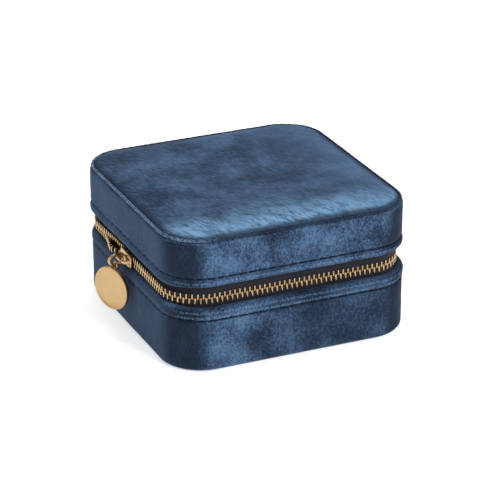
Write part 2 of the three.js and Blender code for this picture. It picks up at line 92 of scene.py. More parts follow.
LINING = (3.9, 4.7)
INSIDE_CORNER = CORNER - 5.0  # corner radius of the room inside the linings

LEFT_OUT = 1.65  # along the left side the chain stands this much further out
LID_ASIDE = -0.5  # the lid's cover sits this far along X from the base's
SLIDER_Y = -0.3
SLIDER_HALF = 5.25
PLATE_HALF = 2.95
PLATE_FRONT = (-HALF - 0.5, -HALF + 0.4)  # the slider's outer and inner plates, along X
PLATE_BACK = (-HALF + 3.1, -HALF + 3.9)
BRIDGE_X = -HALF - 2.85
LINK_Y = 0.0
BRIDGE_Z = 29.0
LINK_X = -HALF - 4.1
LINK_WIRE = 0.675  # half of the wire's thickness
CHARM_X = -HALF - 6.0
CHARM_Z = 17.45
CHARM_RADIUS = 8.75
CHARM_HALF = 0.75  # half of the charm's thickness
CHARM_YAW = math.radians(24)
EYE_Z = 26.6


def smooth(t):
    t = np.clip(t, 0, 1)
    return t * t * (3 - 2 * t)


# ---------------------------------------------------------------- the case's outline
def outline_length(inset=0.0):
    return 8 * STRAIGHT + 2 * math.pi * (CORNER - inset)


def stations(s, inset=0.0):
    """Points of the outer outline and outward normals at lengths s, measured along the line at inset
    from the middle of the back by the left side, the front and the right side."""
    radius = CORNER - inset
    side_length = 2 * STRAIGHT + radius * math.pi / 2
    u = np.mod(np.asarray(s, float) + STRAIGHT, 4 * side_length)
    side = np.floor(u / side_length)
    v = u - side * side_length
    facing = math.pi / 2 * (1 + side)
    turned = facing + np.maximum(v - 2 * STRAIGHT, 0) / radius
    out = np.stack([np.cos(facing), np.sin(facing)], -1)
    along = np.stack([-out[..., 1], out[..., 0]], -1)
    normal = np.stack([np.cos(turned), np.sin(turned)], -1)
    run = (np.minimum(v, 2 * STRAIGHT) - STRAIGHT)[..., None]
    return out * STRAIGHT + along * run + normal * CORNER, normal


def loop_at(inset, count):
    """The outline at an inset as points; past the corners' own depth it shrinks to the middle."""
    deepest = CORNER - 2.0
    point, normal = stations(np.arange(count) * outline_length() / count)
    loop = point - normal * min(inset, deepest)
    if inset > deepest:
        loop = loop * (HALF - inset) / (HALF - deepest)
    return loop


# ---------------------------------------------------------------- mesh building
def lumps(points, size, seed=0):
    """Smooth noise from -1 to 1 at points in millimetres, with lumps of about the given size."""
    shift = Vector((7.1 * seed, 3.3 * seed, 1.7 * seed))
    flat = np.asarray(points, float).reshape(-1, 3)
    values = [noise.noise(Vector(p) / size + shift) for p in flat]
    return np.array(values).reshape(np.shape(points)[:-1])


def resample(outline, step):
    """A closed outline of 2-D points with extra points, none further apart than step."""
    outline = np.asarray(outline, float)
    points = []
    for a, b in zip(outline, np.roll(outline, -1, axis=0)):
        parts = max(1, math.ceil(np.linalg.norm(b - a) / step))
        points += [a + (b - a) * k / parts for k in range(parts)]
    return np.array(points)


class Shape:
    """Points and faces of one mesh, gathered from several lofts."""

    def __init__(self):
        self.points = []
        self.faces = []

    def loft(self, sections, loop=False):
        """Joins equal closed sections; an open run gets a cap at each end."""
        sections = np.asarray(sections, float)
        rows, columns = sections.shape[:2]
        start = len(self.points)
        self.points.extend(sections.reshape(-1, 3).tolist())
        for i in range(rows if loop else rows - 1):
            here = start + i * columns
            there = start + (i + 1) % rows * columns
            for j in range(columns):
                k = (j + 1) % columns
                self.faces.append((here + j, here + k, there + k, there + j))
        if not loop:
            last = start + (rows - 1) * columns
            self.faces.append(tuple(reversed(range(start, start + columns))))
            self.faces.append(tuple(range(last, last + columns)))
        return self


def new_mesh(name, points, faces, look):
    """A mesh from points in millimetres."""
    mesh = bpy.data.meshes.new(name)
    mesh.from_pydata((np.array(points) * MM).tolist(), [], faces)
    mesh.materials.append(look)
    return mesh


def new_object(name, data):
    made = bpy.data.objects.new(name, data)
    bpy.context.scene.collection.objects.link(made)
    return made


def mesh_piece(name, shape, look, body, replaces=(), sharp=None, aside=0.0):
    """Makes the piece, rides it on its body and hides the CAD parts it replaces. sharp is the angle in
    degrees over which an edge shows; without it the whole piece is shaded smooth. aside moves the
    piece along X."""
    mesh = new_mesh(name, np.array(shape.points) + (aside, 0, 0), shape.faces, look)
    work = bmesh.new()
    work.from_mesh(mesh)
    bmesh.ops.recalc_face_normals(work, faces=work.faces)
    work.to_mesh(mesh)
    work.free()
    mesh.shade_smooth()
    if sharp:
        mesh.set_sharp_from_angle(angle=math.radians(sharp))
    piece = new_object(name, mesh)
    if body:
        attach(piece, body)
    if replaces:
        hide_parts(*replaces)
    return piece


def wall(profile, relief=None, step=0.8, fine=0.5):
    """A wall all round the case from a closed profile of (inset, z). relief(s, inset, z, points)
    gives how far each point moves outward and upward."""
    count = round(outline_length() / step)
    s = np.arange(count) * outline_length() / count
    point, normal = stations(s)
    inset, z = resample(profile, fine).T
    points = np.empty((count, len(z), 3))
    points[..., :2] = point[:, None] - normal[:, None] * inset[None, :, None]
    points[..., Z] = z
    if relief:
        out, up = relief(s[:, None], inset[None], z[None], points)
        points[..., :2] += normal[:, None] * out[..., None]
        points[..., Z] += up
    return Shape().loft(points, loop=True)


def level(loop, z):
    """A loop of (x, y) points laid flat at height z."""
    return np.column_stack([loop, np.full(len(loop), z)])


def panel(levels, count=200, relief=None):
    """A rounded square panel from (inset, z) levels, from the underside's middle to the top's."""
    points = np.array([level(loop_at(inset, count), z) for inset, z in levels])
    if relief:
        points[..., Z] += relief(points, np.array(levels)[:, 0][:, None])
    return Shape().loft(points)


def superellipse(half_a, half_b, power, count):
    """A rounded rectangle as points (a, b); a high power gives tight corners."""
    t = np.arange(count) * 2 * math.pi / count
    a = np.sign(np.cos(t)) * np.abs(np.cos(t)) ** (2 / power) * half_a
    b = np.sign(np.sin(t)) * np.abs(np.sin(t)) ** (2 / power) * half_b
    return np.column_stack([a, b])


def arch(x, y, radius, count):
    """Points of a half circle about (x, y), from its right over its top to its left."""
    return [(x + radius * math.cos(a), y + radius * math.sin(a)) for a in np.linspace(0, math.pi, count)]


def sweep(path, sections, side):
    """Sections of (a, b) points along a path: a lies along side, b square to side and the path."""
    path = np.asarray(path, float)
    side = np.asarray(side, float)
    ahead = np.gradient(path, axis=0)
    ahead /= np.linalg.norm(ahead, axis=1)[:, None]
    across = np.cross(ahead, side)
    across /= np.linalg.norm(across, axis=1)[:, None]
    return [p + s[:, :1] * side + s[:, 1:] * c for p, s, c in zip(path, sections, across)]


def lathe(profile, centre, axis, count=48):
    """Sections of a closed (radius, height) profile turned about an axis through centre."""
    axis = Vector(axis).normalized()
    first = axis.orthogonal().normalized()
    second = axis.cross(first)
    sections = []
    for k in range(count):
        turn = 2 * math.pi * k / count
        out = np.array(first * math.cos(turn) + second * math.sin(turn))
        sections.append([np.array(centre) + out * r + np.array(axis) * h for r, h in profile])
    return sections


def swell(piece, pressure, cap, held, shrink=(1.0, 1.0, 1.0)):
    """Cloth simulation under air pressure. held(points) says how firmly each point stays, from 0 to
    1, and no point moves further than cap. shrink scales the movement along each axis."""
    mesh = piece.data
    rest = np.array([v.co for v in mesh.vertices])
    group = piece.vertex_groups.new(name="held")
    for i, weight in enumerate(held(rest / MM)):
        group.add([i], float(weight), "REPLACE")
    cloth = piece.modifiers.new("Cloth", "CLOTH")
    cloth.settings.vertex_group_mass = group.name
    cloth.settings.use_pressure = True
    cloth.settings.uniform_pressure_force = pressure
    cloth.settings.effector_weights.gravity = 0
    cloth.settings.quality = 5
    cloth.settings.mass = 0.1
    scene = bpy.context.scene
    for number in range(1, 21):
        scene.frame_set(number)
    swollen = piece.evaluated_get(bpy.context.evaluated_depsgraph_get()).data
    moved = (np.array([v.co for v in swollen.vertices]) - rest) * shrink
    far = np.linalg.norm(moved, axis=1)
    moved *= np.minimum(1, cap * MM / np.maximum(far, 1e-12))[:, None]
    piece.modifiers.remove(cloth)
    piece.vertex_groups.remove(group)
    mesh.vertices.foreach_set("co", (rest + moved).ravel())
    mesh.update()
    scene.frame_set(1)


# ---------------------------------------------------------------- materials
class Look:
    """A Principled material, with short calls for the nodes that drive it. Its texture places are
    object coordinates, so a length in millimetres is the same on every piece."""

    def __init__(self, name, **values):
        self.material = bpy.data.materials.new(name)
        self.material.use_nodes = True
        self.tree = self.material.node_tree
        self.shader = self.tree.nodes["Principled BSDF"]
        coordinates = self.tree.nodes.new("ShaderNodeTexCoord")
        self.place = coordinates.outputs["Object"]
        self.normal = coordinates.outputs["Normal"]
        self.set(**values)

    def put(self, socket, value):
        if isinstance(value, bpy.types.NodeSocket):
            self.tree.links.new(value, socket)
        else:
            socket.default_value = value

    def set(self, **values):
        for name, value in values.items():
            self.put(self.shader.inputs[name.replace("_", " ")], value)

    def node(self, kind, inputs, **settings):
        made = self.tree.nodes.new("ShaderNode" + kind)
        for name, value in settings.items():
            setattr(made, name, value)
        for name, value in inputs.items():
            self.put(made.inputs[name], value)
        return made

    def noise(self, size, detail=2.0, rough=0.5, stretch=(1, 1, 1), turn=(0, 0, 0), shift=(0, 0, 0)):
        """Noise with lumps of about size millimetres, longer along an axis with a high stretch and
        moved by shift lumps."""
        scale = [1 / (size * MM * k) for k in stretch]
        turned = self.node("Mapping", {"Vector": self.place, "Rotation": turn})
        place = self.node("Mapping", {"Vector": turned.outputs[0], "Scale": scale, "Location": shift})
        texture = self.node("TexNoise", {"Vector": place.outputs[0], "Scale": 1.0,
                                         "Detail": detail, "Roughness": rough})
        return texture.outputs["Fac"]

    def calc(self, operation, a, b=0.0):
        return self.node("Math", {0: a, 1: b}, operation=operation).outputs[0]

    def times(self, a, b):
        return self.calc("MULTIPLY", a, b)

    def apart(self, a, b):
        return self.calc("ABSOLUTE", self.calc("SUBTRACT", a, b))

    def blend(self, *shares):
        """The sum of (factor, weight) pairs."""
        total = self.times(*shares[0])
        for factor, weight in shares[1:]:
            total = self.calc("ADD", total, self.times(factor, weight))
        return total

    def fade(self, value, start, end):
        """0 where value is start and 1 where it is end, clamped and smooth between."""
        settings = {"interpolation_type": "SMOOTHSTEP"}
        return self.node("MapRange", {"Value": value, "From Min": start, "From Max": end},
                         **settings).outputs[0]

    def at(self, axis):
        """The place along one axis, in metres."""
        return self.node("SeparateXYZ", {"Vector": self.place}).outputs[axis]

    def facing(self, axis):
        """How far the surface faces along one axis, from -1 to 1."""
        return self.node("SeparateXYZ", {"Vector": self.normal}).outputs[axis]

    def ramp(self, factor, *stops, smooth=False):
        made = self.node("ValToRGB", {"Fac": factor})
        made.color_ramp.interpolation = "B_SPLINE" if smooth else "LINEAR"
        elements = made.color_ramp.elements
        while len(elements) < len(stops):
            elements.new(0.5)
        for element, (place, colour) in zip(elements, stops):
            element.position = place
            element.color = (*colour, 1)
        return made.outputs["Color"]

    def mix(self, factor, a, b):
        made = self.node("Mix", {"Factor": factor}, data_type="RGBA")
        for socket, value in zip([s for s in made.inputs if s.type == "RGBA"], (a, b)):
            self.put(socket, (*value, 1) if isinstance(value, tuple) else value)
        return next(s for s in made.outputs if s.type == "RGBA")

    def bump(self, height, depth, strength=1.0):
        """Bump from a 0 to 1 height; depth is in millimetres."""
        made = self.node("Bump", {"Height": height, "Distance": depth * MM, "Strength": strength})
        self.set(Normal=made.outputs[0])

    def two_tone(self, tone, dark, light, depth, strength, relief=None):
        """Colour between two (place, colour) stops, with bump from the tone or from relief."""
        self.set(Base_Color=self.ramp(tone, dark, light))
        self.bump(relief or tone, depth, strength)
        return self.material


VELVET_DEEP = (0.006, 0.011, 0.024)
VELVET_MID = (0.024, 0.046, 0.095)
VELVET_LIGHT = (0.085, 0.165, 0.290)
VELVET_SHEEN = (0.34, 0.54, 0.86, 1)
# colour of the painted sheen band on the top panel and the painted highlights on the bands' folds
PAINTED_SHEEN = (0.20, 0.38, 0.60)
PIPING_LIT = (0.15, 0.22, 0.35)
MOTTLE_PLACE = (21, 4, 9)  # which stretch of the noise the brushed patches come from


def pile(name, tip_size, stretch, turn=(0, 0, 0), calm=0.0, calm_left=0.0):
    """Crushed pile: soft brushed patches and a speckle of fibre tips. calm, and calm_left where the
    cloth faces left, even the tone out from 0 to 1. Gives the look, the tips and the colour."""
    look = Look(name, Roughness=0.80, Sheen_Weight=0.20, Sheen_Roughness=0.4,
                Sheen_Tint=VELVET_SHEEN, Specular_IOR_Level=0.10)
    patches = look.noise(17, 1.5, 0.45, shift=MOTTLE_PLACE)
    clouds = look.noise(6, 2, 0.5)
    tips = look.noise(tip_size, 2, 0.7, stretch=stretch, turn=turn)
    left = look.fade(look.facing("X"), -0.75, -0.98)
    calm = look.calc("ADD", look.times(left, calm_left), calm)
    tone = look.blend((patches, 0.40), (clouds, 0.16), (tips, 0.44))
    swing = look.times(look.calc("SUBTRACT", tone, 0.5), look.calc("SUBTRACT", 1.0, calm))
    tone = look.calc("ADD", swing, 0.5)
    colour = look.ramp(tone, (0.37, VELVET_DEEP), (0.49, VELVET_MID), (0.62, VELVET_LIGHT), smooth=True)
    look.bump(look.blend((tips, 0.7), (clouds, 0.3)), 0.40, 0.7)
    return look, tips, colour


def velvet(name):
    """The bands' velvet: a calmer left side with painted shade, painted shade over the right half of the
    base and where the cloth turns a corner, painted shade along the stitched grooves, and painted
    highlights along the front's folds."""
    look, tips, colour = pile(name, 0.75, (1, 1, 1.3), calm_left=0.75)
    turned = look.times(look.facing("X"), look.facing("Y"))
    bend = look.fade(look.calc("ABSOLUTE", turned), 0.14, 0.44)
    across = look.at("X")
    height = look.at("Z")
    # Painted shade: the left side, and the right half of the base below the zip, are darkened towards
    # VELVET_DEEP.
    left = look.fade(look.facing("X"), -0.75, -0.98)
    low = look.fade(height, 31 * MM, 29 * MM)
    right_low = look.times(look.fade(across, -30 * MM, 5 * MM), low)
    left_dark = look.times(left, look.blend((low, 0.17), (1.0, 0.28)))
    dark = look.calc("MAXIMUM", look.times(right_low, 0.48), left_dark)
    colour = look.mix(dark, colour, VELVET_DEEP)
    # Painted shade where the cloth turns a corner, deeper on the right side.
    turn_dark = look.blend((look.fade(across, 0, 30 * MM), 0.13), (1.0, 0.84))
    colour = look.mix(look.times(bend, turn_dark), colour, VELVET_DEEP)
    # Painted shade along the stitched grooves, fainter on the left side.
    plain = look.calc("SUBTRACT", 1.0, look.times(left, 0.7))
    for groove, half_width, depth in ((BASE_STITCH, 0.75, 0.7), (LID_STITCH, 0.70, 0.6)):
        away = look.apart(height, groove * MM)
        shade = look.fade(away, half_width * MM, 0.15 * MM)
        shade = look.times(shade, look.times(plain, depth))
        colour = look.mix(shade, colour, VELVET_DEEP)
    # Painted highlights along the front's folds, broken up by the fibre tips.
    highlight_tips = look.fade(tips, 0.36, 0.62)
    front = look.fade(look.facing("Y"), -0.2, -0.8)
    for fold, strength in ((22.3, 0.30), (24.3, 0.22), (36.3, 0.26)):
        away = look.apart(height, fold * MM)
        shine = look.times(look.fade(away, 0.7 * MM, 0.1 * MM), look.times(front, highlight_tips))
        colour = look.mix(look.times(shine, strength), colour, PAINTED_SHEEN)
    look.set(Base_Color=colour)
    return look.material


def velvet_top(name):
    """The top panel's velvet: streaks brushed slantwise, a painted sheen band that fades in towards the
    front edge, a painted lighter right side, and a painted shadow where the padding dips to its seam."""
    slant = (0, 0, math.radians(-24))
    look, tips, colour = pile(name, 0.7, (1, 5, 1), slant, calm=0.25)
    # Painted sheen: a bright band fading in towards the front edge, streaked along the pile.
    strokes = look.noise(2.6, 3, 0.6, stretch=(1, 4, 1), turn=slant)
    ragged = look.blend((look.noise(11, 2, 0.5), 20 * MM), (strokes, 10 * MM))
    ahead = look.calc("ADD", look.at("Y"), look.calc("SUBTRACT", ragged, 15 * MM))
    band = look.fade(ahead, -25 * MM, -43 * MM)
    streaks = look.fade(look.blend((tips, 0.5), (strokes, 0.5)), 0.36, 0.60)
    shine = look.times(band, look.blend((streaks, 0.70), (band, 0.24)))
    colour = look.mix(shine, colour, PAINTED_SHEEN)
    # Painted light: the right side of the top is lightened towards VELVET_LIGHT.
    right = look.fade(look.at("X"), 5 * MM, 45 * MM)
    colour = look.mix(look.times(right, 0.36), colour, VELVET_LIGHT)
    # Painted shadow where the padding dips to its seam.
    seam = look.fade(look.at("Z"), 54.3 * MM, 53.7 * MM)
    colour = look.mix(look.times(seam, 0.78), colour, VELVET_DEEP)
    look.set(Base_Color=colour)
    return look.material


def velvet_piping(name):
    """The corded seam: a painted highlight along the left side and painted shade elsewhere."""
    look, tips, colour = pile(name, 0.8, (1, 1, 1))
    # Painted highlight along the left side, and painted shade over the rest of the piping.
    left = look.fade(look.at("X"), -30 * MM, -46 * MM)
    left_highlight = look.times(left, look.fade(tips, 0.35, 0.60))
    dark = look.mix(0.74, colour, VELVET_DEEP)
    look.set(Base_Color=look.mix(left_highlight, dark, PIPING_LIT))
    return look.material


GOLD_DEEP = (0.46, 0.295, 0.135)
GOLD_LIGHT = (0.57, 0.405, 0.215)
# colour of the painted reflection low on the charm
GOLD_REFLECTION_ORANGE = (0.42, 0.225, 0.085)


def suede(name, light=(0.42, 0.46, 0.52), dark=(0.27, 0.31, 0.37)):
    """Short brushed microfibre with soft hand marks."""
    look = Look(name, Roughness=0.92, Sheen_Weight=0.35, Sheen_Roughness=0.5,
                Specular_IOR_Level=0.1)
    marks = look.noise(9, 3, 0.6)
    grain = look.noise(0.45, 3, 0.7)
    tone = look.blend((marks, 0.55), (grain, 0.45))
    return look.two_tone(tone, (0.36, dark), (0.62, light), 0.12, 0.5, relief=grain)


def gold(name, satin=0.22, drifting=1.0, low_edge=None):
    """Plated metal: warm, with drifting polish and very fine brushing. A painted orange reflection
    deepens it below low_edge, a height in millimetres."""
    look = Look(name, Metallic=1.0)
    drift = look.noise(3, 3, 0.6)
    brushing = look.noise(0.12, 2, 0.6, stretch=(1, 1, 14))
    tone = look.calc("ADD", look.times(look.calc("SUBTRACT", drift, 0.5), drifting), 0.5)
    colour = look.ramp(tone, (0.35, GOLD_DEEP), (0.65, GOLD_LIGHT))
    # Painted reflection: warm orange low on the piece, below low_edge.
    if low_edge:
        height = look.at("Z")
        colour = look.mix(look.times(look.fade(height, low_edge * MM, (low_edge - 5) * MM), 0.6),
                          colour, GOLD_REFLECTION_ORANGE)
    look.set(Base_Color=colour, Roughness=look.calc("ADD", satin - 0.05, look.times(drift, 0.12)))
    look.bump(brushing, 0.006, 0.25)
    return look.material


def tape_cloth(name):
    """Tightly woven near-black tape with a fine rib across it."""
    look = Look(name, Roughness=0.85, Sheen_Weight=0.12, Specular_IOR_Level=0.2)
    rib = look.node("TexWave", {"Vector": look.place, "Scale": 1 / (0.9 * MM), "Distortion": 0.6,
                                "Detail": 1.0}, wave_type="BANDS", bands_direction="DIAGONAL")
    weave = look.noise(0.3, 2, 0.7)
    tone = look.blend((rib.outputs["Fac"], 0.5), (weave, 0.5))
    return look.two_tone(tone, (0.25, (0.005, 0.005, 0.009)), (0.75, (0.017, 0.017, 0.028)), 0.10, 0.6)


def thread(name, colour):
    """Twisted sewing thread."""
    look = Look(name, Roughness=0.8, Specular_IOR_Level=0.1)
    ply = look.node("TexWave", {"Vector": look.place, "Scale": 1 / (0.5 * MM)}, wave_type="BANDS",
                    bands_direction="DIAGONAL").outputs["Fac"]
    dark = tuple(c * 0.45 for c in colour)
    return look.two_tone(ply, (0.2, dark), (0.8, colour), 0.05, 0.6)


def greyboard(name):
    """Pressed recycled board with flecks."""
    look = Look(name, Roughness=0.95, Specular_IOR_Level=0.1)
    fleck = look.noise(0.6, 4, 0.75)
    return look.two_tone(fleck, (0.38, (0.12, 0.115, 0.105)), (0.6, (0.33, 0.32, 0.29)), 0.08, 0.5)


def foam(name):
    """Open-cell foam."""
    look = Look(name, Roughness=0.95, Subsurface_Weight=0.1)
    cells = look.node("TexVoronoi", {"Vector": look.place, "Scale": 1 / (0.7 * MM)}).outputs["Distance"]
    return look.two_tone(cells, (0.1, (0.45, 0.43, 0.38)), (0.6, (0.74, 0.72, 0.66)), 0.25, 0.7)


VELVET = velvet("velvet_navy")
VELVET_TOP = velvet_top("velvet_navy_brushed_top_painted_sheen")
VELVET_PIPING = velvet_piping("velvet_navy_piping")
SUEDE = suede("suede_lining")
GOLD = gold("gold_metal")
# low_edge paints a warm orange reflection low on the charm.
CHARM_GOLD = gold("gold_metal_satin", satin=0.30, drifting=0.25, low_edge=13.5)
TAPE = tape_cloth("zip_tape")
NAVY_THREAD = thread("navy_thread", (0.008, 0.014, 0.030))
GREY_THREAD = thread("grey_thread", (0.17, 0.20, 0.26))
GREYBOARD = greyboard("greyboard")
FOAM = foam("foam")


# ---------------------------------------------------------------- zip rows
PARTING = {"wedge": SLIDER_Y + 0.3, "nose": SLIDER_Y + SLIDER_HALF + 0.35, "settle": 11.0, "end": 33.0,
           "lean": 2.7, "lean_delay": 2.2, "lean_arm": 3.6, "lean_share": 0.4,
           "drop": 0.3, "nose_drop": 0.95, "rise": 0.7}
CHAIN_START = HINGE_HALF_WIDTH + 1
CHAIN_END = outline_length(CHAIN_INSET) - CHAIN_START
LEFT_MIDDLE = 2 * STRAIGHT + (CORNER - CHAIN_INSET) * math.pi / 2


def left_out(s):
    """How far the chain stands out: fully along the left side, fading in the corners next to it."""
    corner = (CORNER - CHAIN_INSET) * math.pi / 2
    front_corner = LEFT_MIDDLE + STRAIGHT
    return (LEFT_OUT * smooth((s - STRAIGHT - 1) / (0.7 * corner))
            * (1 - smooth((s - front_corner) / (0.85 * corner))))


def bulge_at(y):
    """How far the lower row leans out behind the slider, from 0 to 1, at y on the left side."""
    nose, end = PARTING["nose"], PARTING["end"]
    t = np.clip((end - y) / (end - nose), 0, 1)
    return np.sin(math.pi * t ** PARTING["lean_delay"]) ** 2


def row_shift(s, lower):
    """Where a row stands beside the closed chain's line: outward, upward, and its lean in radians."""
    y = LEFT_MIDDLE - s
    parted = smooth((y - PARTING["wedge"]) / 1.6)
    parted = parted * (1 - smooth((y - PARTING["settle"]) / (PARTING["end"] - PARTING["settle"])))
    settled = smooth((y - PARTING["nose"]) / 3)
    apart = PARTING["drop"] if lower else PARTING["rise"]
    apart = (PARTING["nose_drop"] + (apart - PARTING["nose_drop"]) * settled) * parted
    if lower:
        out = PARTING["lean"] * bulge_at(y)
        lean = PARTING["lean_share"] * np.arctan2(out, PARTING["lean_arm"])
        return left_out(s) + out, -apart, lean
    return left_out(s), apart, np.zeros_like(y)


def chain_frame(s, lower):
    """Origin on the chain's centre line, then the directions along the chain, to the tooth tips
    and outward, at lengths s."""
    s = np.atleast_1d(np.asarray(s, float))
    point, normal = stations(s, CHAIN_INSET)
    out, up, lean = row_shift(s, lower)
    flat = level(normal, 0)
    along = np.column_stack([-normal[:, 1], normal[:, 0], np.zeros(len(s))])
    origin = level(point - normal * CHAIN_INSET, CHAIN_Z)
    origin += flat * out[:, None]
    origin[:, Z] += up
    vertical = np.array([0, 0, 1.0 if lower else -1.0])
    lean = lean[:, None]
    tip = vertical * np.cos(lean) + flat * np.sin(lean)
    outward = flat * np.cos(lean) - vertical * np.sin(lean)
    return origin, along, tip, outward


def chamfered(width, depth, ease):
    """A rectangle with its corners cut, as (width, depth) points."""
    w, d = width / 2, depth / 2
    return np.array([(w - ease, d), (ease - w, d), (-w, d - ease), (-w, ease - d),
                     (ease - w, -d), (w - ease, -d), (w, ease - d), (w, d - ease)])


def tooth_sections():
    """One tooth from the tape to its tip: two legs clamped over the cord, then a wider head."""
    levels = [(-2.05, 0.38, 1.3), (-1.90, 0.56, 1.7), (-0.85, 0.58, 1.8),
              (-0.50, 0.78, 1.5), (0.10, 0.78, 1.4), (0.36, 0.66, 1.2), (0.45, 0.40, 0.8)]
    return [(v, chamfered(width, depth, 0.16)) for v, width, depth in levels]


def tooth_row(name, body, lower, node):
    first = CHAIN_START + (0 if lower else TOOTH_PITCH / 2)
    count = math.floor((CHAIN_END - first - TOOTH_WIDTH) / TOOTH_PITCH) + 1
    middles = first + TOOTH_WIDTH / 2 + np.arange(count) * TOOTH_PITCH
    row = Shape()
    template = tooth_sections()
    for origin, along, tip, outward in zip(*chain_frame(middles, lower)):
        row.loft([origin + tip * v + section @ np.array([along, outward])
                  for v, section in template])
    mesh_piece(name, row, GOLD, body, [node], sharp=28)


def zip_tape(name, body, lower, node):
    """The woven tape, from behind the velvet to its corded edge inside the teeth."""
    end = outline_length(CHAIN_INSET) - HINGE_HALF_WIDTH
    s = np.linspace(HINGE_HALF_WIDTH, end, 260)
    origin, _, tip, outward = chain_frame(s, lower)
    bead = origin - tip * BEAD_DROP
    up = 1 if lower else -1
    fold_z = CHAIN_Z - up * FOLD_DROP
    far_z = span(node, Z)[0 if lower else 1]
    point, normal = stations(s, CHAIN_INSET)
    flat = level(normal, 0)
    fold = level(point - normal * CHAIN_INSET, fold_z)
    far = fold.copy()
    far[:, Z] = far_z
    sections = []
    for k in range(len(s)):
        reach = bead[k] - fold[k]
        rise = np.array([0, 0, up * abs(reach[Z])])
        drift = reach - rise
        web = [fold[k] + rise * t + drift * t ** 1.5 for t in (0.25, 0.5, 0.75)]
        cord = [(0.0, TAPE_HALF), (0.35, 0.5), (0.85, 0.5), (1.2, 0.2)]
        line = [far[k], fold[k], *web]
        front = [p + flat[k] * TAPE_HALF for p in line]
        back = [p - flat[k] * TAPE_HALF for p in line]
        edge = bead[k] - tip[k] * 0.6
        front += [edge + tip[k] * v + outward[k] * w for v, w in cord]
        back += [edge + tip[k] * v - outward[k] * w for v, w in cord]
        sections.append(front + back[::-1])
    mesh_piece(name, Shape().loft(sections), TAPE, body, [node], sharp=60)


def end_stop(name, node):
    """A squared metal clip pressed over one end of the chain."""
    (x0, x1), (y0, y1), (z0, z1) = spans(node)
    middle = np.array([(x0 + x1) / 2, (y0 + y1) / 2])
    stop = Shape()
    levels = [(z0, 0.75), (z0 + 0.25, 1), (z1 - 0.25, 1), (z1, 0.75)]
    section = superellipse((x1 - x0) / 2, (y1 - y0) / 2, 5, 20)
    stop.loft([level(middle + section * share, z) for z, share in levels])
    mesh_piece(name, stop, GOLD, "base", [node], sharp=40)


# ---------------------------------------------------------------- velvet shells
def near(z, middle, width):
    return np.exp(-(((z - middle) / width) ** 2))


def shell_relief(stitch, edge, second):
    """Outward and upward moves of a velvet band: loose cloth, a stitched groove and a fainter second
    one, both shallower on the left side, a soft fold up to the zip, and a pucker at every stitch.
    The base's top edge is pressed down where the zip stands open, and the lid's edge sags on the left."""
    def relief(s, inset, z, points):
        outer = smooth((1.25 - inset) / 0.6)
        left = smooth((-points[..., X] - 44) / 5)
        out = 0.16 * lumps(points, 13) + 0.07 * lumps(points, 4, seed=3)
        out = out - (GROOVE_DEPTH - 0.22 * left) * near(z, stitch, GROOVE_WIDTH)
        out = out + 0.30 * np.sin(math.pi * np.clip((z - stitch) / (edge - stitch), 0, 1))
        pucker = np.cos(2 * math.pi * s / STITCH_PITCH)
        out = out + 0.09 * pucker * near(z, stitch, 1.6)
        out = out - (0.16 - 0.10 * left) * near(z, second, 0.45)
        up = np.zeros_like(out)
        if edge < CHAIN_Z:
            y = np.where(points[..., X] < 0, points[..., Y], -HALF)
            up = -0.5 * bulge_at(y) * smooth((z - edge + 3) / 3)
        else:
            up = -0.6 * smooth((-points[..., X] - 42) / 6) * (1 - smooth((z - edge) / 3))
        return out * outer, up
    return relief


def velvet_shells():
    t = BASE_TOP
    base = [(0, 2.9), (0, t - 1.6), (0.12, t - 1.0), (0.42, t - 0.4), (0.95, t), (1.8, t), (2.5, t - 0.3),
            (2.9, t - 0.8), (3.02, t - 1.6), (3.02, t - 3.6), (2.87, t - 3.6), (2.87, t - 1.2),
            (1.3, t - 1.2), (1.3, 1.05), (1.75, 1.05), (1.75, 0.35), (1.2, 0.42), (0.7, 0.75),
            (0.3, 1.3), (0.08, 2.0)]
    relief = shell_relief(BASE_STITCH, BASE_TOP, second=23.1)
    mesh_piece("base_shell", wall(base, relief), VELVET, "base", ["base_velvet_band"])
    b = LID_BOTTOM
    top = LID_TOP
    lid = [(0.95, b), (0.42, b + 0.35), (0.12, b + 0.9), (0, b + 1.5), (0, top - 1.2), (0.1, top - 0.55),
           (0.4, top - 0.15), (0.8, top + 0.02), (1.3, top), (1.3, b + 1.2), (2.87, b + 1.2), (2.87, b + 3.6),
           (3.02, b + 3.6), (3.02, b + 1.5), (2.9, b + 0.8), (2.5, b + 0.3), (1.8, b)]
    relief = shell_relief(LID_STITCH, LID_BOTTOM, second=50.6)
    mesh_piece("lid_shell", wall(lid, relief), VELVET, "lid", ["lid_velvet_band"],
               aside=LID_ASIDE)


def stitching(name, body, z, aside=0.0):
    """A row of thread dashes lying in the groove all round the case."""
    count = round(outline_length() / STITCH_PITCH)
    pitch = outline_length() / count
    rows = Shape()
    ring = superellipse(0.24, 0.24, 2, 6)
    for k in range(count):
        share = np.linspace(0.12, 0.88, 6)
        point, normal = stations((k + share) * pitch)
        dip = 0.34 * (2 * share - 1) ** 6
        path = np.column_stack([point - normal * (0.30 + dip)[:, None], np.full(6, z)])
        rows.loft(sweep(path, [ring] * 6, (0, 0, 1)))
    mesh_piece(name, rows, NAVY_THREAD, body, aside=aside)


